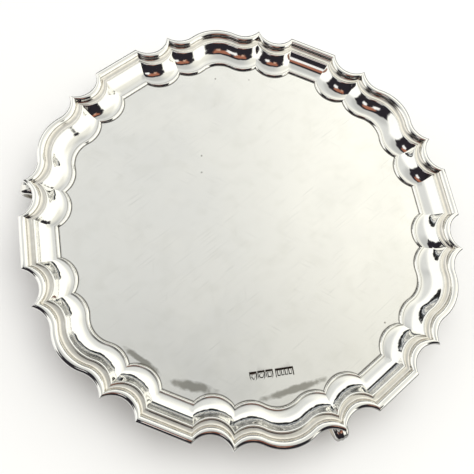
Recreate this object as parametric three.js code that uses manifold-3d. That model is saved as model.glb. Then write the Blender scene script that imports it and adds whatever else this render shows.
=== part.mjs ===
// Round silver salver: a flat plate inside a raised, scalloped "pie-crust" border, on three scroll feet.
//
// The border repeats six times. Each repeat has one bracket (a convex crown between two concave ends)
// and one side (a straight run between two small concave arcs). Each bracket and each side is a casting
// of its own. They meet on mitres at the cusps, and their inner edge is lapped over the plate.
//
// Millimetres, +Z up. The soles of the feet stand on z = 0 and the plate is centred on the Z axis.

import * as THREE from "three";
import Module from "manifold-3d";
import { mergeVertices } from "three/addons/utils/BufferGeometryUtils.js";

const wasm = await Module();
wasm.setup();

// Driving dimensions
const SPAN = 203.2; // across opposite cusps, along the crest of the outer bead: an eight-inch salver
const REACH = SPAN / 2;
const REPEATS = 6;
const FEET = 3;
const SEAM = 0.3; // room left where two pieces are soldered together
const BORDER_WIDTH = 14.9; // crest line of the outer bead to the inner edge
const CREST_RISE = 7.05; // plate's top face to that crest
const BEAD_RADIUS = 1.75;
const PLATE_THICKNESS = 1;
const LAP = 2.3; // how far the plate runs in under the border
const REBATE = SEAM; // how much lower the plate's rim is there, so the border starts flush with its face
const FIELD_INSET = BORDER_WIDTH + 0.4; // edge of the plate's face, just clear of the border
const PLATE_UNDERSIDE = 16.4; // clear height below the plate
const PLATE_TOP = PLATE_UNDERSIDE + PLATE_THICKNESS;

// Every line of the border, seen from above, has the same shape: a crown between two concave ends, and a
// straight run between two small arcs. These are its sizes along the crest and along the inner edge.
const CREST_LINE = {
  crownReach: REACH, // out to the middle of a bracket
  crownRadius: 0.195 * REACH,
  endRadius: 0.11 * REACH,
  cuspReach: REACH,
  sideRadius: 0.1 * REACH,
  straightReach: 0.9913 * REACH,
  straightHalf: 0.1151 * REACH,
};
const INNER_LINE = {
  crownReach: 0.845 * REACH,
  crownRadius: 0.12 * REACH,
  endRadius: 0.12 * REACH,
  cuspReach: 0.834 * REACH,
  sideRadius: 0.112 * REACH,
  straightReach: CREST_LINE.straightReach - BORDER_WIDTH,
  straightHalf: 0.071 * REACH,
};
const CUSP_ANGLE = THREE.MathUtils.degToRad(13.48); // from the middle of a bracket
const REPEAT_ANGLE = (2 * Math.PI) / REPEATS;

// The sizes of a line at a given distance inside the crest line (outside it, if negative)
function lineSizes(inset) {
  const share = inset / BORDER_WIDTH;
  const blend = (key) => THREE.MathUtils.lerp(CREST_LINE[key], INNER_LINE[key], share);
  return Object.fromEntries(Object.keys(CREST_LINE).map((key) => [key, blend(key)]));
}

const polar = (radius, angle) => new THREE.Vector2(radius * Math.cos(angle), radius * Math.sin(angle));

// The crossing of two circles that lies nearest to a given point
function crossing(centreA, radiusA, centreB, radiusB, near) {
  const between = centreB.clone().sub(centreA);
  const distance = between.length();
  const along = (radiusA ** 2 - radiusB ** 2 + distance ** 2) / (2 * distance);
  const aside = Math.sqrt(radiusA ** 2 - along ** 2);
  between.normalize();
  const middle = centreA.clone().addScaledVector(between, along);
  const across = new THREE.Vector2(-between.y, between.x);
  const both = [aside, -aside].map((reach) => middle.clone().addScaledVector(across, reach));
  return both.sort((p, q) => p.distanceTo(near) - q.distanceTo(near))[0];
}

function arc(centre, radius, from, to, segments) {
  const points = [];
  for (let i = 0; i <= segments; i++) {
    points.push(polar(radius, from + ((to - from) * i) / segments).add(centre));
  }
  return points;
}

const heading = (point, centre) => point.clone().sub(centre).angle();
const mirrored = (points) => points.map((p) => new THREE.Vector2(p.x, -p.y)).reverse();

// A bracket's line at a given distance inside the crest line, symmetrical about +X
function bracketLine(inset, seam = SEAM) {
  const { crownReach, crownRadius, endRadius, cuspReach } = lineSizes(inset);
  const crownCentre = new THREE.Vector2(crownReach - crownRadius, 0);
  const cusp = polar(cuspReach, CUSP_ANGLE - seam / 2 / cuspReach);
  const outside = polar(1.1 * REACH, CUSP_ANGLE);
  const endCentre = crossing(crownCentre, crownRadius + endRadius, cusp, endRadius, outside);
  const turn = heading(endCentre, crownCentre);
  const crown = arc(crownCentre, crownRadius, -turn, turn, 6);
  const end = arc(endCentre, endRadius, turn + Math.PI, heading(cusp, endCentre), 4).slice(1);
  return [...mirrored(end), ...crown, ...end];
}

// A side's line at a given distance inside the crest line, symmetrical about +X
function sideLine(inset, seam = SEAM) {
  const { cuspReach, sideRadius, straightReach, straightHalf } = lineSizes(inset);
  const cusp = polar(cuspReach, CUSP_ANGLE - REPEAT_ANGLE / 2 + seam / 2 / cuspReach);
  const corner = new THREE.Vector2(straightReach, -straightHalf);
  const centre = crossing(cusp, sideRadius, corner, sideRadius, polar(1.1 * REACH, -REPEAT_ANGLE / 6));
  const lower = arc(centre, sideRadius, heading(cusp, centre), heading(corner, centre), 7);
  return [...lower, ...mirrored(lower)];
}

// Border's section: x is the distance inside the crest line, y the height above the plate's top face
function borderSection() {
  const section = new THREE.Path();
  section.moveTo(0.7, 3.4);
  section.lineTo(-0.5, 3.7);
  section.absarc(0.2, CREST_RISE - BEAD_RADIUS, BEAD_RADIUS, Math.PI + 0.9, 0.25, true);
  section.quadraticCurveTo(2.6, 4.3, 4.6, 4.9);
  section.quadraticCurveTo(5.05, 5.75, 5.75, 4.9);
  section.bezierCurveTo(7.2, 3.15, 9.2, 0.4, 13.4, 0.4);
  section.quadraticCurveTo(14.3, 1.6, BORDER_WIDTH, 0.5);
  section.lineTo(BORDER_WIDTH, 0);
  section.lineTo(9.9, 0);
  section.quadraticCurveTo(7.4, 0.9, 4.6, 3.5);
  section.lineTo(2.6, 3.3);
  return section.getPoints(3).reverse();
}

// A closed skin over rings of points. The outline they follow runs anticlockwise, seen looking back
// along the rings.
function skin(rings, outline) {
  const size = outline.length;
  const last = (rings.length - 1) * size;
  const indices = [];
  for (let i = 0; i < last; i += size) {
    for (let j = 0; j < size; j++) {
      const next = (j + 1) % size;
      indices.push(i + j, i + next, i + size + next, i + j, i + size + next, i + size + j);
    }
  }
  for (const [a, b, c] of THREE.ShapeUtils.triangulateShape(outline, [])) {
    indices.push(a, c, b, last + a, last + b, last + c);
  }
  const coordinates = rings.flat().flatMap((p) => p.toArray());
  const geometry = new THREE.BufferGeometry();
  geometry.setAttribute("position", new THREE.Float32BufferAttribute(coordinates, 3));
  geometry.setIndex(indices);
  return geometry;
}

function borderCasting(line) {
  const section = borderSection();
  const lines = section.map((point) => line(point.x));
  const rings = lines[0].map((_, i) =>
    section.map((point, j) => new THREE.Vector3(lines[j][i].x, lines[j][i].y, PLATE_TOP + point.y)),
  );
  return skin(rings, section);
}

// Manifold solids, for joining shapes and cutting flats
function solid(geometry) {
  const bare = geometry.clone();
  bare.deleteAttribute("normal");
  bare.deleteAttribute("uv");
  const merged = mergeVertices(bare, 1e-4);
  return new wasm.Manifold(
    new wasm.Mesh({
      numProp: 3,
      vertProperties: new Float32Array(merged.attributes.position.array),
      triVerts: new Uint32Array(merged.index.array),
    }),
  );
}

function geometryOf(manifold) {
  const { vertProperties, triVerts } = manifold.getMesh();
  const geometry = new THREE.BufferGeometry();
  geometry.setAttribute("position", new THREE.BufferAttribute(vertProperties, 3));
  geometry.setIndex(new THREE.BufferAttribute(triVerts, 1));
  return geometry;
}

// A closed outline at a given distance inside the border's crest line
function wholeLine(inset) {
  const turned = (points, angle) => points.map((p) => p.clone().rotateAround(new THREE.Vector2(), angle));
  const outline = [];
  for (let i = 0; i < REPEATS; i++) {
    outline.push(...turned(bracketLine(inset, 0), (i + 0.5) * REPEAT_ANGLE).slice(0, -1));
    outline.push(...turned(sideLine(inset, 0), (i + 1) * REPEAT_ANGLE).slice(0, -1));
  }
  return outline;
}

// Flat plate, cut to the border's own pattern, with its rim let down under the border
function plateGeometry() {
  const slab = (inset, underside, top) => {
    const shape = new THREE.Shape(wholeLine(inset));
    const geometry = new THREE.ExtrudeGeometry(shape, { depth: top - underside, bevelEnabled: false });
    return solid(geometry.translate(0, 0, underside));
  };
  const rim = slab(BORDER_WIDTH - LAP, PLATE_UNDERSIDE, PLATE_TOP - REBATE);
  const field = slab(FIELD_INSET, PLATE_UNDERSIDE + REBATE, PLATE_TOP);
  return geometryOf(rim.add(field));
}

// Foot, in its own frame: +X points outwards and y = 0 is the middle of the foot
const PAD_THICKNESS = 0.8;
const PAD_TOP = PLATE_UNDERSIDE - SEAM;
const PAD_INNER = 72;
const PAD_OUTER = 85;
const PAD_HALF_WIDTH = 5.5;
const SEAT_TOP = PAD_TOP - PAD_THICKNESS - SEAM;
const TOE = new THREE.Vector2(96.2, 2.3); // middle of the scrolled toe
const TOE_RADIUS = 2.6;
const TOE_HALF_WIDTH = 3.4;

// Shield-shaped reinforcing pad, flat against the plate's underside
function padGeometry() {
  const shape = new THREE.Shape();
  shape.moveTo(PAD_OUTER, -PAD_HALF_WIDTH);
  shape.lineTo(PAD_OUTER, PAD_HALF_WIDTH);
  shape.quadraticCurveTo(PAD_INNER + 2, PAD_HALF_WIDTH, PAD_INNER, 0);
  shape.quadraticCurveTo(PAD_INNER + 2, -PAD_HALF_WIDTH, PAD_OUTER, -PAD_HALF_WIDTH);
  const settings = { depth: PAD_THICKNESS, bevelEnabled: false, curveSegments: 8 };
  return new THREE.ExtrudeGeometry(shape, settings).translate(0, 0, PAD_TOP - PAD_THICKNESS);
}

// The leg's middle line from the seat under the plate, out round the knee, and in to the toe.
// Each entry is the distance out, the height, half the width and half the thickness there.
const LEG = [
  [76, 14.3, 1.4, 0.8],
  [81, 13.8, 3.0, 1.7],
  [88, 13.5, 3.2, 1.9],
  [96, 15.6, 3.3, 2.2],
  [102.6, 15.9, 3.4, 2.4],
  [104.2, 11.3, 2.9, 2.0],
  [100.4, 7.0, 2.3, 1.6],
  [97.2, 4.0, 2.4, 1.6],
];

function legGeometry() {
  const middle = new THREE.SplineCurve(LEG.map(([x, z]) => new THREE.Vector2(x, z)));
  const halves = new THREE.SplineCurve(LEG.map((row) => new THREE.Vector2(row[2], row[3])));
  const outline = arc(new THREE.Vector2(), 1, 0, 2 * Math.PI, 12).slice(1);
  const stations = 3 * (LEG.length - 1);
  const rings = [];
  for (let i = 0; i <= stations; i++) {
    const centre = middle.getPoint(i / stations);
    const along = middle.getTangent(i / stations);
    const half = halves.getPoint(i / stations);
    rings.push(
      outline.map((p) => {
        const rise = p.y * half.y;
        return new THREE.Vector3(centre.x - along.y * rise, p.x * half.x, centre.y + along.x * rise);
      }),
    );
  }
  return skin(rings, outline);
}

function footGeometry() {
  const toe = new THREE.CylinderGeometry(TOE_RADIUS, TOE_RADIUS, 2 * TOE_HALF_WIDTH, 20);
  toe.translate(TOE.x, 0, TOE.y);
  const aboveSeat = new THREE.BoxGeometry(20, 20, 10);
  aboveSeat.translate(PAD_OUTER + SEAM - 10, 0, SEAT_TOP + 5);
  const belowSole = new THREE.BoxGeometry(60, 20, 10);
  belowSole.translate(90, 0, -5);
  const foot = solid(legGeometry()).add(solid(toe));
  return geometryOf(foot.subtract(solid(aboveSeat)).subtract(solid(belowSole)));
}

// The assembly
const salver = new THREE.Group();

function silver(name, geometry, shade, turn = 0) {
  const material = new THREE.MeshStandardMaterial({ color: shade, roughness: 0.25, metalness: 1 });
  const mesh = new THREE.Mesh(geometry, material);
  mesh.name = name;
  mesh.rotation.z = turn;
  salver.add(mesh);
}

silver("plate", plateGeometry(), 0xdedcd6);
for (let i = 0; i < REPEATS; i++) {
  const middle = Math.PI / 2 - i * REPEAT_ANGLE;
  silver(`border_bracket_${i + 1}`, borderCasting(bracketLine), 0xe4e2dc, middle);
  silver(`border_side_${i + 1}`, borderCasting(sideLine), 0xe4e2dc, middle - REPEAT_ANGLE / 2);
}
for (let i = 0; i < FEET; i++) {
  const angle = REPEAT_ANGLE / 2 + CUSP_ANGLE - (i * 2 * Math.PI) / FEET;
  silver(`foot_pad_${i + 1}`, padGeometry(), 0xd2d0ca, angle);
  silver(`foot_${i + 1}`, footGeometry(), 0xdad8d2, angle);
}

export default salver;
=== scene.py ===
"""Round silver salver on three scroll feet, in a plain pale studio.

Metres, +Z up, in the CAD frame: +Y is the middle of bracket 1 and z = 0 is the table under the feet.
"""

import math

import bmesh
import bpy
from mathutils import Matrix, Vector, noise


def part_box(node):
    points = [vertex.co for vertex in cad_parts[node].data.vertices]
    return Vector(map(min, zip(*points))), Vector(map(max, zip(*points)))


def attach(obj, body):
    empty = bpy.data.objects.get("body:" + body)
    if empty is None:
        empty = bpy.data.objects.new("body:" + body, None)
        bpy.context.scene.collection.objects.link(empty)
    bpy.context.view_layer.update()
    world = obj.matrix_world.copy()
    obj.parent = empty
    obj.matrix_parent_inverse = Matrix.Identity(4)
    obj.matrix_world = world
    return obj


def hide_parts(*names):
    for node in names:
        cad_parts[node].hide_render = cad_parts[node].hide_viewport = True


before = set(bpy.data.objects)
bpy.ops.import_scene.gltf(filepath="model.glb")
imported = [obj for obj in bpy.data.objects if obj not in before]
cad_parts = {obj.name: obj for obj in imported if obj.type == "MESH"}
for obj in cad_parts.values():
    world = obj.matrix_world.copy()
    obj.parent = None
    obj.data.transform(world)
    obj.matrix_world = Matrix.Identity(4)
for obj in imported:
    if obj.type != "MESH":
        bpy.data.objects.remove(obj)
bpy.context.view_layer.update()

MM = 0.001

# ------------------------------------------------------------------ sizes
PLATE_BOTTOM, PLATE_TOP = (corner.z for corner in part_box("plate"))
CREST_RISE = 7.05 * MM  # plate's face to the crest of the rim bead
BEAD_RADIUS = 1.75 * MM
BEAD_INSET = 0.2 * MM  # crest line to the bead's middle
REACH = 101.6 * MM  # out to the crest
REPEATS = 6
FEET = 3
REPEAT_ANGLE = math.tau / REPEATS
CUSP_ANGLE = math.radians(13.48)  # from the middle of a bracket
BORDER_WIDTH = 14.9 * MM  # crest line to the inner edge
FIELD_INSET = 15.0 * MM  # edge of the plate's face
RIM_INSET = 12.6 * MM  # edge of the plate, under the border
REBATE = 0.3 * MM
STRAIGHT_REACH = 0.9913 * REACH

# Every line of the border has the same arcs; these are their sizes on the crest and on the inner edge.
CREST_LINE = {
    "crown_reach": REACH,
    "crown_radius": 0.195 * REACH,
    "end_radius": 0.11 * REACH,
    "cusp_reach": REACH,
    "side_radius": 0.1 * REACH,
    "straight_reach": STRAIGHT_REACH,
    "straight_half": 0.1151 * REACH,
}
INNER_LINE = {
    "crown_reach": 0.845 * REACH,
    "crown_radius": 0.12 * REACH,
    "end_radius": 0.12 * REACH,
    "cusp_reach": 0.834 * REACH,
    "side_radius": 0.112 * REACH,
    "straight_reach": STRAIGHT_REACH - BORDER_WIDTH,
    "straight_half": 0.071 * REACH,
}


# ------------------------------------------------------------------ plane geometry
def polar(radius, angle):
    return Vector((radius * math.cos(angle), radius * math.sin(angle)))


def turned(point, angle):
    cos, sin = math.cos(angle), math.sin(angle)
    return Vector((point.x * cos - point.y * sin, point.x * sin + point.y * cos))


def heading(point, centre):
    return math.atan2(point.y - centre.y, point.x - centre.x) % math.tau


def crossing(centre_a, radius_a, centre_b, radius_b, near):
    """The crossing of two circles that lies nearest to a point."""
    between = centre_b - centre_a
    distance = between.length
    along = (radius_a**2 - radius_b**2 + distance**2) / (2 * distance)
    aside = math.sqrt(radius_a**2 - along**2)
    between.normalize()
    middle = centre_a + between * along
    across = Vector((-between.y, between.x)) * aside
    return min((middle + across, middle - across), key=lambda p: (p - near).length)


def arc(centre, radius, start, stop, segments):
    return [centre + polar(radius, start + (stop - start) * i / segments) for i in range(segments + 1)]


def curve(points, segments):
    """A Bezier curve of any degree through its first and last point."""
    line = []
    for i in range(segments + 1):
        share, hull = i / segments, [Vector(p) for p in points]
        while len(hull) > 1:
            hull = [a.lerp(b, share) for a, b in zip(hull, hull[1:])]
        line.append(hull[0])
    return line


def mirrored(points):
    return [Vector((p.x, -p.y)) for p in reversed(points)]


def line_sizes(inset):
    """The arcs' sizes on the line at a distance inside the crest line (outside it, if negative)."""
    share = inset / BORDER_WIDTH
    return {key: size + (INNER_LINE[key] - size) * share for key, size in CREST_LINE.items()}


OUTSIDE = 1.1 * REACH  # clear of the border, to tell which crossing of two circles is meant
CROWN_SEGMENTS = 24
END_SEGMENTS = 16
SIDE_ARC_SEGMENTS = 26
STRAIGHT_SEGMENTS = 8


def bracket_line(inset):
    """A bracket's line, symmetrical about +X."""
    sizes = line_sizes(inset)
    crown_radius, end_radius = sizes["crown_radius"], sizes["end_radius"]
    crown_centre = Vector((sizes["crown_reach"] - crown_radius, 0))
    cusp = polar(sizes["cusp_reach"], CUSP_ANGLE)
    outside = polar(OUTSIDE, CUSP_ANGLE)
    end_centre = crossing(crown_centre, crown_radius + end_radius, cusp, end_radius, outside)
    turn = heading(end_centre, crown_centre)
    crown = arc(crown_centre, crown_radius, -turn, turn, CROWN_SEGMENTS)
    end = arc(end_centre, end_radius, turn + math.pi, heading(cusp, end_centre), END_SEGMENTS)[1:]
    return mirrored(end) + crown + end


def side_line(inset):
    """A side's line, symmetrical about +X."""
    sizes = line_sizes(inset)
    radius = sizes["side_radius"]
    cusp = polar(sizes["cusp_reach"], CUSP_ANGLE - REPEAT_ANGLE / 2)
    corner = Vector((sizes["straight_reach"], -sizes["straight_half"]))
    centre = crossing(cusp, radius, corner, radius, polar(OUTSIDE, -REPEAT_ANGLE / 6))
    lower = arc(centre, radius, heading(cusp, centre), heading(corner, centre), SIDE_ARC_SEGMENTS)
    upper = mirrored(lower)
    straight = [corner.lerp(upper[0], i / STRAIGHT_SEGMENTS) for i in range(1, STRAIGHT_SEGMENTS)]
    return lower + straight + upper


# ------------------------------------------------------------------ meshes
CREASE_ANGLE = math.radians(32)


def shade(mesh):
    """Smooth faces with crisp edges where they meet at more than the crease angle."""
    shape = bmesh.new()
    shape.from_mesh(mesh)
    for face in shape.faces:
        face.smooth = True
    for edge in shape.edges:
        edge.smooth = len(edge.link_faces) == 2 and edge.calc_face_angle() < CREASE_ANGLE
    shape.to_mesh(mesh)
    shape.free()


def new_object(name, mesh):
    piece = bpy.data.objects.new(name, mesh)
    bpy.context.scene.collection.objects.link(piece)
    return piece


def new_mesh(name, vertices, faces, **layers):
    """A smooth-shaded mesh facing outwards, with a number on every vertex for each layer."""
    mesh = bpy.data.meshes.new(name)
    mesh.from_pydata(vertices, [], faces)
    for layer, values in layers.items():
        mesh.attributes.new(layer, "FLOAT", "POINT").data.foreach_set("value", values)
    shape = bmesh.new()
    shape.from_mesh(mesh)
    bmesh.ops.recalc_face_normals(shape, faces=shape.faces)
    shape.to_mesh(mesh)
    shape.free()
    shade(mesh)
    return mesh


WAVE_SIZE = 11 * MM
WAVE_HEIGHT = 0.016 * MM
NOISE_SEED = 1
noise.seed_set(NOISE_SEED)  # without a seed, the noise differs from run to run


def hand_finished(point):
    """Moves a point by hundredths of a millimetre, as filing and polishing by hand leave it."""
    return point + noise.noise_vector(point / WAVE_SIZE) * WAVE_HEIGHT


# ------------------------------------------------------------------ border
def border_section():
    """Points round the section: inset and height over the plate in mm, tarnish, grime and painted shade."""
    bead = Vector((BEAD_INSET / MM, (CREST_RISE - BEAD_RADIUS) / MM))
    radius = BEAD_RADIUS / MM
    # The grime layer darkens the creases, the underside and the joint with the plate: dirt, and painted
    # shade.
    stretches = [  # line, then tarnish, grime and painted shade at the line's first point, and grime and painted shade along the rest
        (curve([(0.7, 3.4), (0.1, 3.45), (-0.888, 3.929)], 3), 0.3, 0.2, 0.2),
        (arc(bead, radius, math.pi + 0.9, 0.25, 24), 0.0, 0.1, 0.0),
        (curve([(1.896, 5.733), (2.6, 4.3), (4.6, 4.9)], 16), 0.42, 0.75, 0.0),
        (curve([(4.6, 4.9), (5.05, 5.75), (5.75, 4.9)], 10), 0.0, 0.35, 0.0),
        (curve([(5.75, 4.9), (7.2, 3.15), (9.2, 0.4), (13.4, 0.4)], 28), 0.0, 0.0, 0.0),
        (curve([(13.4, 0.4), (13.8, 1.35), (14.35, 1.1), (14.9, 0.04)], 14), 0.0, 0.6, 0.0),
        (curve([(14.9, 0.04), (14.95, -0.25)], 2), 0.6, 1.0, 1.0),
        (curve([(14.9, -0.25), (12.7, -0.25)], 2), 0.4, 0.6, 0.6),
        (curve([(12.7, -0.25), (12.5, 0.0), (9.9, 0.0)], 4), 0.4, 0.3, 0.3),
        (curve([(9.9, 0.0), (7.4, 0.9), (4.6, 3.5)], 10), 0.5, 0.1, 0.1),
        (curve([(4.6, 3.5), (2.6, 3.3), (0.7, 3.4)], 6), 0.5, 0.1, 0.1),
    ]
    points = []
    for line, tarnish, first_grime, grime in stretches:
        for i, p in enumerate(line[:-1]):
            points.append((p.x, p.y, tarnish, grime if i else first_grime))
    return points


def border_piece(name, line, turn):
    section = border_section()
    lines = [line(point[0] * MM) for point in section]
    stations, size = len(lines[0]), len(section)
    vertices = []
    for i in range(stations):
        for j, point in enumerate(section):
            spot = turned(lines[j][i], turn)
            vertices.append(hand_finished(Vector((spot.x, spot.y, PLATE_TOP + point[1] * MM))))
    faces = []
    for i in range(stations - 1):
        for j in range(size):
            here, across = i * size + j, i * size + (j + 1) % size
            faces.append((across, here, here + size, across + size))
    last = (stations - 1) * size
    faces += [tuple(range(size)), tuple(last + j for j in reversed(range(size)))]
    tarnish = [section[v % size][2] for v in range(len(vertices))]
    grime = [section[v % size][3] for v in range(len(vertices))]
    mesh = new_mesh(name, vertices, faces, tarnish=tarnish, grime=grime)
    return new_object(name, mesh)


# ------------------------------------------------------------------ plate
PLATE_RINGS = 26
GRIME_AND_SHADE_WIDTH = 0.65 * MM  # dark band along the border: painted shade where the plate meets it, and dirt left by polishing
PLATE_WAVE = 34 * MM
PLATE_WAVE_HEIGHT = 0.05 * MM
WAVE_END = 0.8 * REACH
WAVE_FADE = 0.12 * REACH


def whole_line(inset):
    outline = []
    for i in range(REPEATS):
        outline += [turned(p, (i + 0.5) * REPEAT_ANGLE) for p in bracket_line(inset)[:-1]]
        outline += [turned(p, (i + 1) * REPEAT_ANGLE) for p in side_line(inset)[:-1]]
    return outline


def plate_wave(spot):
    """Height left in the sheet by flattening it with a hammer, fading out towards the border."""
    fade = min(1, max(0, (WAVE_END - spot.length) / WAVE_FADE))
    return PLATE_WAVE_HEIGHT * fade * noise.noise(Vector((spot.x, spot.y, 0)) / PLATE_WAVE)


def plate_blank():
    """The sheet with its rebated rim, before it is punched."""
    rim, field = whole_line(RIM_INSET), whole_line(FIELD_INSET)
    size = len(rim)
    rings = [(rim, PLATE_BOTTOM), (rim, PLATE_TOP - REBATE), (field, PLATE_TOP - REBATE), (field, PLATE_TOP)]
    vertices = [Vector((p.x, p.y, height)) for line, height in rings for p in line]
    for share in [GRIME_AND_SHADE_WIDTH / REACH] + [i / PLATE_RINGS for i in range(1, PLATE_RINGS)]:
        for p in field:
            spot = p * (1 - share)
            vertices.append(Vector((spot.x, spot.y, PLATE_TOP + plate_wave(spot))))
    vertices.append(Vector((0, 0, PLATE_TOP + plate_wave(Vector((0, 0))))))
    faces = [tuple(range(size))]
    for start in range(0, len(vertices) - 1 - size, size):
        for j in range(size):
            after = (j + 1) % size
            faces.append((start + j, start + after, start + size + after, start + size + j))
    middle, inner = len(vertices) - 1, len(vertices) - 1 - size
    faces += [(inner + j, inner + (j + 1) % size, middle) for j in range(size)]
    # the rebate and the face's edge carry painted shade and dirt, fading out across the band
    grime = [0.0] * (2 * size) + [1.0] * (2 * size) + [0.0] * (len(vertices) - 4 * size)
    return new_mesh("plate_sheet", vertices, faces, tarnish=[0.0] * len(vertices), grime=grime)


MARK_ROW = -71.6 * MM  # middle line of the row of punched marks
MARK_DEPTH = 0.4 * MM
PUNCH_SLOPE, PUNCH_LEAN = 0.42, 0.4
DEVICE_SLOPE, DEVICE_LEAN = -0.33, 0.1
DEVICE_DEPTH = 1.05 * MARK_DEPTH  # past the punch's own bottom, so that the cut goes right through it


def shield(width, height):
    """A shield-shaped cartouche round the origin."""
    half, top = width / 2, height / 2
    foot = curve([(half, 0), (half, -0.8 * top), (0, -top)], 6)
    other_side = [Vector((-p.x, p.y)) for p in reversed(foot[:-1])]
    return foot + other_side + [Vector((-half, top)), Vector((half, top))]


def bar(width, height):
    return [Vector((x * width / 2, y * height / 2)) for x, y in ((1, -1), (-1, -1), (-1, 1), (1, 1))]


def lozenge(width, height):
    return [Vector(p) for p in ((width / 2, 0), (0, -height / 2), (-width / 2, 0), (0, height / 2))]


def ring(radius, sides):
    return [polar(radius, -math.tau * i / sides) for i in range(sides)]


def punched_marks():
    """(place along the row, outline of the punch, devices left standing in it), in mm.

    The devices are plain shapes with no meaning: a lozenge, a disc, a block and a row of bars.
    """
    return [
        (-9.6, shield(3.3, 4.1), [(0, lozenge(1.3, 2.2))]),
        (-6.0, shield(3.3, 4.1), [(0, ring(0.75, 12))]),
        (-2.4, shield(3.3, 4.1), [(0, bar(1.1, 1.6))]),
        (4.3, bar(8.2, 3.8), [(x, bar(0.7, 1.9)) for x in (-2.55, -0.85, 0.85, 2.55)]),
    ]


def tapered(name, outline, place, reach, slope, lean):
    """A closed prism through the plate's face, with sloping walls.

    It is wider by the slope at its top and narrower by it at its bottom, and its bottom lies nearer
    to the plate's edge by the lean. Both are in mm.
    """
    size = len(outline)
    half_width, half_height = max(p.x for p in outline), max(p.y for p in outline)
    vertices = []
    for side in (-1, 1):
        for p in outline:
            x = place + p.x * (1 + side * slope / half_width)
            y = p.y * (1 + side * slope / half_height) + side * lean
            vertices.append(Vector((x * MM, MARK_ROW + y * MM, PLATE_TOP + side * reach)))
    faces = [tuple(range(size)), tuple(range(size, 2 * size))]
    faces += [(j, (j + 1) % size, size + (j + 1) % size, size + j) for j in range(size)]
    clean = [0.0] * len(vertices)
    return new_object(name, new_mesh(name, vertices, faces, tarnish=clean, grime=clean))


def cut(target, cutter):
    """Takes one closed body out of another, and throws the cutter away."""
    boolean = target.modifiers.new("cut", "BOOLEAN")
    boolean.operation = "DIFFERENCE"
    boolean.solver = "EXACT"
    boolean.object = cutter
    bpy.context.view_layer.update()
    shape = bpy.data.meshes.new_from_object(target.evaluated_get(bpy.context.evaluated_depsgraph_get()))
    target.modifiers.clear()
    target.data = shape
    shade(shape)
    bpy.data.objects.remove(cutter)


def plate_piece():
    plate = new_object("plate_sheet", plate_blank())
    for i, (place, outline, devices) in enumerate(punched_marks()):
        punch = tapered(f"punch_{i}", outline, place, MARK_DEPTH, PUNCH_SLOPE, PUNCH_LEAN)
        for j, (offset, device) in enumerate(devices):
            name, spot = f"device_{i}_{j}", place + offset
            cut(punch, tapered(name, device, spot, DEVICE_DEPTH, DEVICE_SLOPE, DEVICE_LEAN))
        cut(plate, punch)
    return plate


# ------------------------------------------------------------------ feet
# In mm. The leg's middle line, from the seat out round the knee and in to the toe: distance out,
# height, half the width, half the thickness.
LEG = [
    (76, 14.3, 1.4, 0.8),
    (81, 13.8, 3.0, 1.7),
    (88, 13.5, 3.2, 1.9),
    (96, 15.6, 3.3, 2.2),
    (102.6, 15.9, 3.4, 2.4),
    (104.2, 11.3, 2.9, 2.0),
    (100.4, 7.0, 2.3, 1.6),
    (98.0, 4.9, 2.6, 0.95),
]
TOE = Vector((96.2, 2.3))  # middle of the scroll: distance out, height
SCROLL_RADIUS = 2.4
SCROLL_TIGHTENING = 1.7  # how much smaller the radius is at the scroll's eye
SCROLL_START, SCROLL_TURN = 75, 470  # degrees
SCROLL_STEPS = 14
SEAT_TOP = 15.0  # the leg is flat here, under its pad
SEAT_REACH = 85.3


def volute():
    """The toe: the leg's end rolled up into a scroll, in the same terms as the leg."""
    rows = []
    for i in range(1, SCROLL_STEPS + 1):
        share = i / SCROLL_STEPS
        angle = math.radians(SCROLL_START + SCROLL_TURN * share)
        centre = TOE + polar(SCROLL_RADIUS - SCROLL_TIGHTENING * share, angle)
        rows.append((centre.x, centre.y, 3.4 - 0.5 * share, 0.62 - 0.2 * share))
    return rows


def spline(rows, share):
    """A smooth line through rows of numbers."""
    at = min(share * (len(rows) - 1), len(rows) - 1 - 1e-9)
    i, t = int(at), at - int(at)
    a, b, c, d = (rows[min(max(k, 0), len(rows) - 1)] for k in (i - 1, i, i + 1, i + 2))
    return [
        0.5 * (2 * q + (r - p) * t + (2 * p - 5 * q + 4 * r - s) * t**2 + (3 * q - p - 3 * r + s) * t**3)
        for p, q, r, s in zip(a, b, c, d)
    ]


LEG_STATIONS = 170
LEG_SIDES = 36
# shares of the way along the leg: the knee's place and spread, and a step that shows the direction
KNEE_PLACE, KNEE_SPREAD = 0.2, 0.11
NUDGE = 0.002
RIDGE_HEIGHT = 0.16
ROUNDING = 0.8  # 1 makes the section an ellipse, less makes it squarer
INNER_TARNISH, OUTER_TARNISH = 0.8, 0.15


def leg_ring(rows, share):
    """A ring of points round the leg: a rounded bar with three ridges down the outside of its knee."""
    x, z, half_width, half_thickness = spline(rows, share)
    ahead, behind = spline(rows, min(share + NUDGE, 1)), spline(rows, max(share - NUDGE, 0))
    along = Vector((ahead[0] - behind[0], ahead[1] - behind[1])).normalized()
    knee = math.exp(-(((share - KNEE_PLACE) / KNEE_SPREAD) ** 2))
    points = []
    for k in range(LEG_SIDES):
        side, rise = math.cos(math.tau * k / LEG_SIDES), math.sin(math.tau * k / LEG_SIDES)
        side = math.copysign(abs(side) ** ROUNDING, side)
        ridges = RIDGE_HEIGHT * knee * math.cos(3 * math.pi * side) * max(rise, 0)
        out = math.copysign(abs(rise) ** ROUNDING, rise) * half_thickness + ridges
        points.append(Vector((x - along.y * out, side * half_width, max(z + along.x * out, 0))))
    return points


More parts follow.
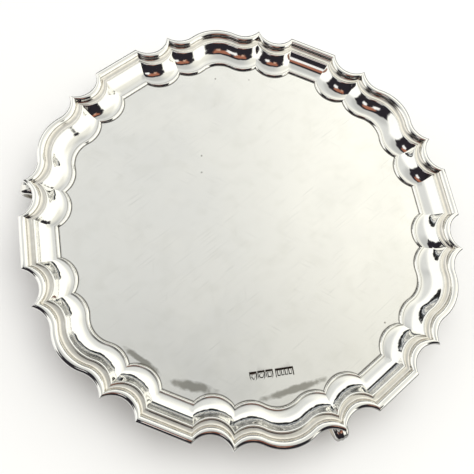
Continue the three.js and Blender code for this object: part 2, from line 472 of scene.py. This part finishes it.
def foot_piece(name, turn):
    rows = LEG + volute()
    rings = [leg_ring(rows, i / LEG_STATIONS) for i in range(LEG_STATIONS + 1)]
    vertices = []
    for points in rings:
        for p in points:
            height = min(p.z, SEAT_TOP) if p.x < SEAT_REACH else p.z
            spot = turned(p.xy, turn)
            vertices.append(hand_finished(Vector((spot.x, spot.y, height)) * MM))
    for vertex in vertices:
        vertex.z = max(vertex.z, 0)
    faces = [tuple(range(LEG_SIDES)), tuple(range(LEG_STATIONS * LEG_SIDES, len(vertices)))]
    for start in range(0, LEG_STATIONS * LEG_SIDES, LEG_SIDES):
        for k in range(LEG_SIDES):
            after = (k + 1) % LEG_SIDES
            faces.append((start + k, start + after, start + LEG_SIDES + after, start + LEG_SIDES + k))
    inner = [v % LEG_SIDES > LEG_SIDES / 2 for v in range(len(vertices))]
    inward = [INNER_TARNISH if side else OUTER_TARNISH for side in inner]
    mesh = new_mesh(name, vertices, faces, tarnish=inward, grime=[0.3 * t for t in inward])
    return new_object(name, mesh)


# ------------------------------------------------------------------ materials
def node(tree, kind, settings=None, **inputs):
    """A shader node. An input is named with _ for a space, or i and its number."""
    made = tree.nodes.new(kind)
    for key, value in (settings or {}).items():
        setattr(made, key, value)
    for key, value in inputs.items():
        numbered = key[0] == "i" and key[1:].isdigit()
        socket = made.inputs[int(key[1:]) if numbered else key.replace("_", " ")]
        if isinstance(value, bpy.types.NodeSocket):
            tree.links.new(value, socket)
        else:
            socket.default_value = value
    return made


def maths(tree, operation, a, b=0.0):
    """One operation on two numbers, with its result held between 0 and 1."""
    return node(tree, "ShaderNodeMath", {"operation": operation, "use_clamp": True}, i0=a, i1=b).outputs[0]


def vector_maths(tree, operation, **inputs):
    return node(tree, "ShaderNodeVectorMath", {"operation": operation}, **inputs)


def ramp(tree, value, low, high, to_low=0.0, to_high=1.0):
    made = node(
        tree, "ShaderNodeMapRange", {"interpolation_type": "SMOOTHSTEP"},
        Value=value, From_Min=low, From_Max=high, To_Min=to_low, To_Max=to_high,
    )
    return made.outputs["Result"]


def mix(tree, share, a, b):
    return node(tree, "ShaderNodeMix", {"data_type": "RGBA"}, i0=share, i6=a, i7=b).outputs[2]


def cloud(tree, place, size, detail=3.0):
    return node(tree, "ShaderNodeTexNoise", Vector=place, Scale=1 / size, Detail=detail).outputs["Fac"]


def scratches(tree, place, turn, length, width, rarity):
    """Sparse thin lines along one direction."""
    laid = node(
        tree, "ShaderNodeMapping", {"vector_type": "TEXTURE"},
        Vector=place, Rotation=(0, 0, turn), Scale=(length, width, length),
    ).outputs["Vector"]
    lines = node(tree, "ShaderNodeTexNoise", Vector=laid, Scale=1.0, Detail=0.0).outputs["Fac"]
    return ramp(tree, lines, rarity, rarity + 0.05)


BRIGHT = (0.94, 0.93, 0.89, 1)
TARNISHED = (0.54, 0.47, 0.36, 1)
# dark colour for dirt and painted shade in creases, joints and the walls of the marks
DARK_GRIME_AND_SHADE = (0.07, 0.06, 0.05, 1)
WORN = (0.80, 0.79, 0.73, 1)
SCRATCHED = (0.48, 0.47, 0.43, 1)
SPECK = (0.22, 0.20, 0.17, 1)
# dark colour of the reflections painted on the plate's face
REFLECTED_DARK = (0.23, 0.22, 0.18, 1)


def painted_reflection(tree, place, x, y, turn, length, width):
    """A dark patch painted on the face as a reflection, with ragged edges."""
    laid = node(
        tree, "ShaderNodeMapping", {"vector_type": "TEXTURE"},
        Vector=place, Location=(x * MM, y * MM, PLATE_TOP), Rotation=(0, 0, math.radians(turn)),
        Scale=(length * MM, width * MM, length * MM),
    ).outputs["Vector"]
    away = vector_maths(tree, "LENGTH", i0=laid).outputs["Value"]
    outline = maths(tree, "MULTIPLY", away, 0.5)
    ragging = maths(tree, "MULTIPLY", cloud(tree, place, 3 * MM), 0.4)
    return ramp(tree, maths(tree, "ADD", outline, ragging), 0.66, 0.4)


def finish_silver(tree, colour, roughness, height, depth):
    bump = node(tree, "ShaderNodeBump", Strength=0.6, Distance=depth, Height=height)
    shader = node(
        tree, "ShaderNodeBsdfPrincipled",
        Base_Color=colour, Metallic=1.0, Roughness=roughness, Normal=bump.outputs["Normal"],
    )
    node(tree, "ShaderNodeOutputMaterial", Surface=shader.outputs["BSDF"])


def new_material(name):
    made = bpy.data.materials.new(name)
    made.use_nodes = True
    made.node_tree.nodes.clear()
    return made, made.node_tree


def aged_colour(tree, place):
    """Bright silver, browned where the mesh says that polish and cloth can't reach, and darkened by its
    grime layer: dirt, and painted shade in creases and joints.
    """
    patches = ramp(tree, cloud(tree, place, 2.5 * MM, 4), 0.3, 0.6, 0.75, 1.0)
    tarnish = node(tree, "ShaderNodeAttribute", {"attribute_name": "tarnish"}).outputs["Fac"]
    grime = node(tree, "ShaderNodeAttribute", {"attribute_name": "grime"}).outputs["Fac"]
    worn = mix(tree, ramp(tree, cloud(tree, place, 9 * MM), 0.45, 0.75, 0.0, 0.25), BRIGHT, WORN)
    browned = mix(tree, maths(tree, "MULTIPLY", tarnish, patches), worn, TARNISHED)
    return mix(tree, maths(tree, "MULTIPLY", grime, patches), browned, DARK_GRIME_AND_SHADE), tarnish


def polished_silver(name, roughness):
    made, tree = new_material(name)
    place = node(tree, "ShaderNodeTexCoord").outputs["Object"]
    colour, tarnish = aged_colour(tree, place)
    uneven = ramp(tree, cloud(tree, place, 6 * MM), 0.3, 0.7, 0.7 * roughness, 1.5 * roughness)
    dull = maths(tree, "ADD", uneven, maths(tree, "MULTIPLY", tarnish, 0.22))
    marks = scratches(tree, place, 0.7, 5 * MM, 0.25 * MM, 0.66)
    pits = ramp(tree, cloud(tree, place, 0.5 * MM, 1), 0.62, 0.7)
    finish_silver(tree, colour, dull, maths(tree, "ADD", marks, pits), 0.003 * MM)
    return made


# Painted reflections: dark bands on the plate's face along its near edge, in mm and degrees: x, y, turn,
# half-length, half-width.
PAINTED_REFLECTIONS = [(-36, -71.6, -20, 13, 2.9), (-56, -57.5, -44, 13, 1.8), (7, -79.6, 8, 20, 2.3)]


def plate_silver():
    """Silver worn satin by cloths and glasses: clouds, long fine scratches and a few specks, with painted
    reflections and painted shade.
    """
    made, tree = new_material("plate_silver")
    place = node(tree, "ShaderNodeTexCoord").outputs["Object"]
    colour, tarnish = aged_colour(tree, place)
    lines = 0.0
    for turn, rarity in ((0.55, 0.74), (-0.6, 0.79), (1.5, 0.81), (2.5, 0.78)):
        lines = maths(tree, "MAXIMUM", lines, scratches(tree, place, turn, 14 * MM, 0.28 * MM, rarity))
    cells = node(tree, "ShaderNodeTexVoronoi", Vector=place, Scale=1 / (11 * MM))
    chosen = node(tree, "ShaderNodeSeparateColor", Color=cells.outputs["Color"]).outputs[0]
    dots = ramp(tree, cells.outputs["Distance"], 0.05, 0.025)
    specks = maths(tree, "MULTIPLY", dots, ramp(tree, chosen, 0.35, 0.37))
    # painted reflections: dark bands along the face's near edge
    patches = 0.0
    for patch in PAINTED_REFLECTIONS:
        patches = maths(tree, "MAXIMUM", patches, painted_reflection(tree, place, *patch))
    facing = node(tree, "ShaderNodeNewGeometry").outputs["True Normal"]
    rise = node(tree, "ShaderNodeSeparateXYZ", Vector=facing).outputs["Z"]
    upper = ramp(tree, rise, 0.5, 0.9)  # keeps the painted reflections off the underside
    upright = ramp(tree, maths(tree, "ABSOLUTE", rise), 0.985, 0.93)  # painted shade on the walls of the marks and the plate's rim
    reflection_mask = maths(tree, "MULTIPLY", patches, maths(tree, "MULTIPLY", upper, 0.75))
    colour = mix(tree, maths(tree, "MULTIPLY", lines, 0.2), colour, SCRATCHED)
    colour = mix(tree, maths(tree, "MULTIPLY", specks, 0.8), colour, SPECK)
    # the painted reflections darken the face
    colour = mix(tree, reflection_mask, colour, REFLECTED_DARK)
    # painted shade: near-upright faces turn dark
    colour = mix(tree, upright, colour, DARK_GRIME_AND_SHADE)
    uneven = ramp(tree, cloud(tree, place, 22 * MM, 5), 0.35, 0.65, 0.17, 0.27)
    grain = cloud(tree, place, 0.35 * MM, 2)
    finish_silver(tree, colour, uneven, maths(tree, "SUBTRACT", grain, lines), 0.002 * MM)
    return made


# ------------------------------------------------------------------ assembly
def keep(piece, silver, cad):
    piece.data.materials.clear()
    piece.data.materials.append(silver)
    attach(piece, "root")
    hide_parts(cad)


border_silver = polished_silver("border_silver", 0.06)
foot_silver = polished_silver("foot_silver", 0.10)
pad_silver = polished_silver("pad_silver", 0.28)

keep(plate_piece(), plate_silver(), "plate")
for i in range(REPEATS):
    middle = math.pi / 2 - i * REPEAT_ANGLE
    bracket = border_piece(f"bracket_casting_{i + 1}", bracket_line, middle)
    keep(bracket, border_silver, f"border_bracket_{i + 1}")
    side = border_piece(f"side_casting_{i + 1}", side_line, middle - REPEAT_ANGLE / 2)
    keep(side, border_silver, f"border_side_{i + 1}")
for i in range(FEET):
    angle = REPEAT_ANGLE / 2 + CUSP_ANGLE - i * math.tau / FEET
    keep(foot_piece(f"scroll_foot_{i + 1}", angle), foot_silver, f"foot_{i + 1}")
    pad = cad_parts[f"foot_pad_{i + 1}"]
    pad.data.materials.clear()
    pad.data.materials.append(pad_silver)

# ------------------------------------------------------------------ studio
scene = bpy.context.scene
scene.view_settings.view_transform = "Standard"


FLOOR_HALF = 2.0
LAMP_SIZE = 1.6
LAMP_POWER = 13.0
LAMP_PLACE = (0.2, 0.1, 1.4)


def pale_floor():
    corners = [(x * FLOOR_HALF, y * FLOOR_HALF, 0) for x, y in ((-1, -1), (1, -1), (1, 1), (-1, 1))]
    mesh = bpy.data.meshes.new("floor")
    mesh.from_pydata(corners, [], [(0, 1, 2, 3)])
    floor = new_object("floor", mesh)
    made, tree = new_material("pale_floor")
    place = node(tree, "ShaderNodeTexCoord").outputs["Object"]
    colour = mix(tree, cloud(tree, place, 0.2), (0.90, 0.90, 0.89, 1), (0.93, 0.93, 0.92, 1))
    shader = node(tree, "ShaderNodeBsdfPrincipled", Base_Color=colour, Roughness=0.8)
    clear = node(tree, "ShaderNodeBsdfTransparent")
    below = node(tree, "ShaderNodeNewGeometry").outputs["Backfacing"]  # leaves the underside in view
    seen = node(tree, "ShaderNodeMixShader", i0=below, i1=shader.outputs["BSDF"], i2=clear.outputs["BSDF"])
    node(tree, "ShaderNodeOutputMaterial", Surface=seen.outputs["Shader"])
    mesh.materials.append(made)
    floor.visible_glossy = False  # the silver shows the room instead


def overhead_softbox():
    light = bpy.data.lights.new("softbox", "AREA")
    light.size = LAMP_SIZE
    light.energy = LAMP_POWER
    softbox = bpy.data.objects.new("softbox", light)
    softbox.location = LAMP_PLACE
    softbox.visible_glossy = False
    scene.collection.objects.link(softbox)


UNEVEN = 0.22  # how far the noise bends the outlines of things in the room
BACKDROP = (0.95, 0.95, 0.94, 1)  # what the camera sees past the floor


def room(tree):
    """What the silver reflects, as a colour for each direction."""
    straight = node(tree, "ShaderNodeTexCoord").outputs["Generated"]
    shapes = node(tree, "ShaderNodeTexNoise", Vector=straight, Scale=5.0, Detail=1.0).outputs["Color"]
    centred = vector_maths(tree, "SUBTRACT", i0=shapes, i1=(0.5, 0.5, 0.5)).outputs[0]
    bent = vector_maths(tree, "SCALE", i0=centred, Scale=UNEVEN).outputs[0]
    direction = vector_maths(tree, "ADD", i0=straight, i1=bent).outputs[0]
    parts = node(tree, "ShaderNodeSeparateXYZ", Vector=straight).outputs

    def card(under, compass, elevation, width, height, edge, colour):
        """Lays a soft-edged panel over the room. Degrees; the compass runs from +Y to +X."""
        sideways = Matrix.Rotation(-math.radians(compass), 3, "Z")
        turn = sideways @ Matrix.Rotation(math.radians(elevation), 3, "X")
        right, ahead, up = (
            vector_maths(tree, "DOT_PRODUCT", i0=direction, i1=axis).outputs["Value"]
            for axis in turn.col
        )
        inside = []
        for offset, span in ((right, width), (up, height)):
            angle = node(tree, "ShaderNodeMath", {"operation": "ARCTAN2"}, i0=offset, i1=ahead).outputs[0]
            away = node(tree, "ShaderNodeMath", {"operation": "ABSOLUTE"}, i0=angle).outputs[0]
            inside.append(ramp(tree, away, math.radians(span / 2 + edge), math.radians(span / 2)))
        return mix(tree, maths(tree, "MULTIPLY", *inside), under, (*colour, 1))

    ceiling = mix(tree, ramp(tree, parts["X"], 0.09, 0.46), (0.76, 0.77, 0.76, 1), (1.2, 1.19, 1.1, 1))
    ceiling = mix(tree, ramp(tree, parts["Y"], 0.34, 0.06, 0, 0.24), ceiling, (0, 0, 0, 1))
    walls = mix(tree, ramp(tree, parts["X"], -0.4, 0.5), (1.15, 1.15, 1.12, 1), (1.25, 1.25, 1.18, 1))
    light = mix(tree, ramp(tree, parts["Z"], 0.86, 0.62), ceiling, walls)
    ground = mix(tree, ramp(tree, parts["Z"], -0.3, -0.6), (0.10, 0.10, 0.10, 1), (0.42, 0.42, 0.41, 1))
    ground = mix(tree, ramp(tree, parts["X"], -0.2, -0.45), ground, (0.95, 0.95, 0.94, 1))
    light = mix(tree, ramp(tree, parts["Z"], 0.02, -0.15), light, ground)
    # the window side opposite the photographer: a dark sill with bright slats under it
    light = card(light, 5, 14, 116, 10, 1.5, (0.02, 0.02, 0.02))
    light = card(light, 5, 0.5, 116, 17, 1, (0.13, 0.15, 0.17))
    for slat in (6.5, 1, -5):
        light = card(light, 5, slat, 116, 1.2, 0.6, (0.85, 0.85, 0.85))
    # the photographer: dark clothes, hands round the camera, a bright gap beside them
    light = card(light, 196, 8, 100, 66, 5, (0.02, 0.018, 0.022))
    light = card(light, 226, -14, 60, 40, 6, (0.02, 0.018, 0.022))
    light = card(light, 201, 42, 88, 55, 6, (0.025, 0.022, 0.028))
    light = card(light, 189, 52, 32, 13, 5, (0.40, 0.16, 0.10))
    light = card(light, 176, 41, 8, 5, 2, (0.62, 0.40, 0.30))
    light = card(light, 214, 40, 13, 9, 4, (1.0, 1.0, 1.0))
    return light


def studio_world():
    world = bpy.data.worlds.new("studio")
    scene.world = world
    world.use_nodes = True
    tree = world.node_tree
    tree.nodes.clear()
    seen = node(tree, "ShaderNodeLightPath").outputs["Is Camera Ray"]
    colour = mix(tree, seen, room(tree), BACKDROP)
    background = node(tree, "ShaderNodeBackground", Color=colour)
    node(tree, "ShaderNodeOutputWorld", Surface=background.outputs["Background"])


# ------------------------------------------------------------------ camera
VIEW_COMPASS = math.radians(26.8)  # how far the camera stands west of the -Y axis
VIEW_ELEVATION = math.radians(68.95)
VIEW_ROLL = math.radians(18.4)
AIM = Vector((-10.7 * MM, -3.6 * MM, PLATE_TOP))
DISTANCE = 290.7 * MM
SENSOR_WIDTH, FOCAL_LENGTH = 36, 47.37  # in mm, as Blender takes them
LENS_SHIFT = (0.0253, -0.0148)


def place_camera():
    lens = bpy.data.cameras.new("camera")
    lens.sensor_width = SENSOR_WIDTH
    lens.lens = FOCAL_LENGTH
    lens.shift_x, lens.shift_y = LENS_SHIFT
    lens.clip_start = 0.01
    camera = bpy.data.objects.new("camera", lens)
    scene.collection.objects.link(camera)
    level = math.cos(VIEW_ELEVATION)
    west, south = math.sin(VIEW_COMPASS) * level, math.cos(VIEW_COMPASS) * level
    back = Vector((-west, -south, math.sin(VIEW_ELEVATION)))
    camera.location = AIM + back * DISTANCE
    camera.rotation_mode = "QUATERNION"
    upright = (-back).to_track_quat("-Z", "Y")
    camera.rotation_quaternion = upright @ Matrix.Rotation(VIEW_ROLL, 3, "Z").to_quaternion()
    scene.camera = camera


pale_floor()
overhead_softbox()
studio_world()
place_camera()
